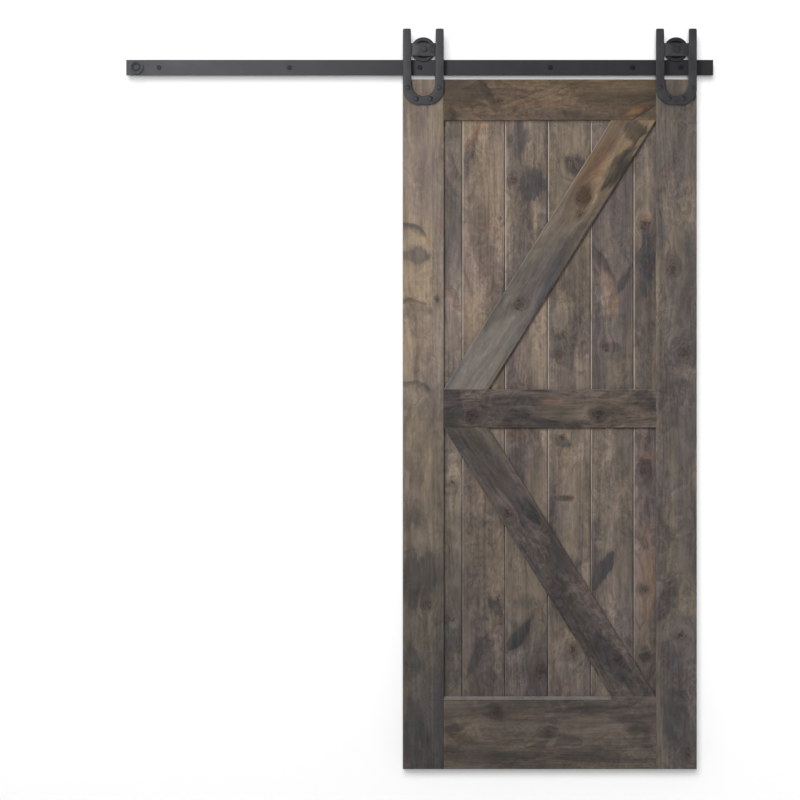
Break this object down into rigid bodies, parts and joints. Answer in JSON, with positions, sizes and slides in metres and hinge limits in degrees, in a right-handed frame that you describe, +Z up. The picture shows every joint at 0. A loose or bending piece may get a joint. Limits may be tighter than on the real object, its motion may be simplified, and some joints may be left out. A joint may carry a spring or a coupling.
{
  "type": "sliding braced door",
  "caption": "Framed, ledged and braced plank door that slides on a wall-mounted flat steel rail, hung by horseshoe straps with grooved wheels.",
  "frame": {"origin": "centre of the middle standoff's back face, on the wall", "axes": "+X to the right as seen from the room, +Y into the wall, +Z up; the door's front faces -Y"},
  "size_m": [1.8288, 0.1095, 2.3041],
  "materials": {
    "rail_steel": "satin black powder coat",
    "hanger_steel": "satin black powder coat",
    "bolt_steel": "satin black",
    "wheel_steel": "black oxide, turned",
    "bearing_steel": "ground steel with dark shields",
    "frame_wood": "weathered grey-brown stain on knotty alder",
    "plank_wood": "weathered grey-brown stain on knotty alder",
    "ledge_wood": "darker weathered stain on knotty alder"
  },
  "bodies": {
    "wall_rail": {"rail": "rail_steel", "standoff_1": "rail_steel", "standoff_2": "rail_steel", "standoff_3": "rail_steel", "standoff_4": "rail_steel", "standoff_5": "rail_steel", "standoff_6": "rail_steel", "lag_screw_1": "bolt_steel", "lag_screw_2": "bolt_steel", "lag_screw_3": "bolt_steel", "lag_screw_4": "bolt_steel", "lag_screw_5": "bolt_steel", "lag_screw_6": "bolt_steel", "end_stop": "hanger_steel", "end_stop_bolt": "bolt_steel"},
    "door": {"stile_left": "frame_wood", "stile_right": "frame_wood", "top_rail": "frame_wood", "bottom_rail": "frame_wood", "mid_rail": "ledge_wood", "brace_upper": "ledge_wood", "brace_lower": "ledge_wood", "plank_1": "plank_wood", "plank_2": "plank_wood", "plank_3": "plank_wood", "plank_4": "plank_wood", "plank_5": "plank_wood", "plank_6": "plank_wood", "hanger_left": "hanger_steel", "hanger_bolts_left": "bolt_steel", "hanger_nuts_left": "bolt_steel", "axle_left": "bolt_steel", "axle_spacer_left": "hanger_steel", "axle_nut_left": "bolt_steel", "hanger_right": "hanger_steel", "hanger_bolts_right": "bolt_steel", "hanger_nuts_right": "bolt_steel", "axle_right": "bolt_steel", "axle_spacer_right": "hanger_steel", "axle_nut_right": "bolt_steel"},
    "left_wheel": {"wheel_left": "wheel_steel", "bearing_left": "bearing_steel"},
    "right_wheel": {"wheel_right": "wheel_steel", "bearing_right": "bearing_steel"}
  },
  "joints": [
    {"name": "door_slide", "type": "slide", "parent": "wall_rail", "child": "door", "axis": [-1, 0, 0], "range_m": [0, 0.803]},
    {"name": "left_wheel_turn", "type": "hinge", "parent": "door", "child": "left_wheel", "pos_m": [0.0111, -0.04127, 0.05605], "axis": [0, -1, 0], "continuous": true},
    {"name": "right_wheel_turn", "type": "hinge", "parent": "door", "child": "right_wheel", "pos_m": [0.7985, -0.04127, 0.05605], "axis": [0, -1, 0], "continuous": true}
  ],
  "couplings": [
    {"joint": "left_wheel_turn", "follows": "door_slide", "rad_per_m": 31.496},
    {"joint": "right_wheel_turn", "follows": "door_slide", "rad_per_m": 31.496}
  ]
}
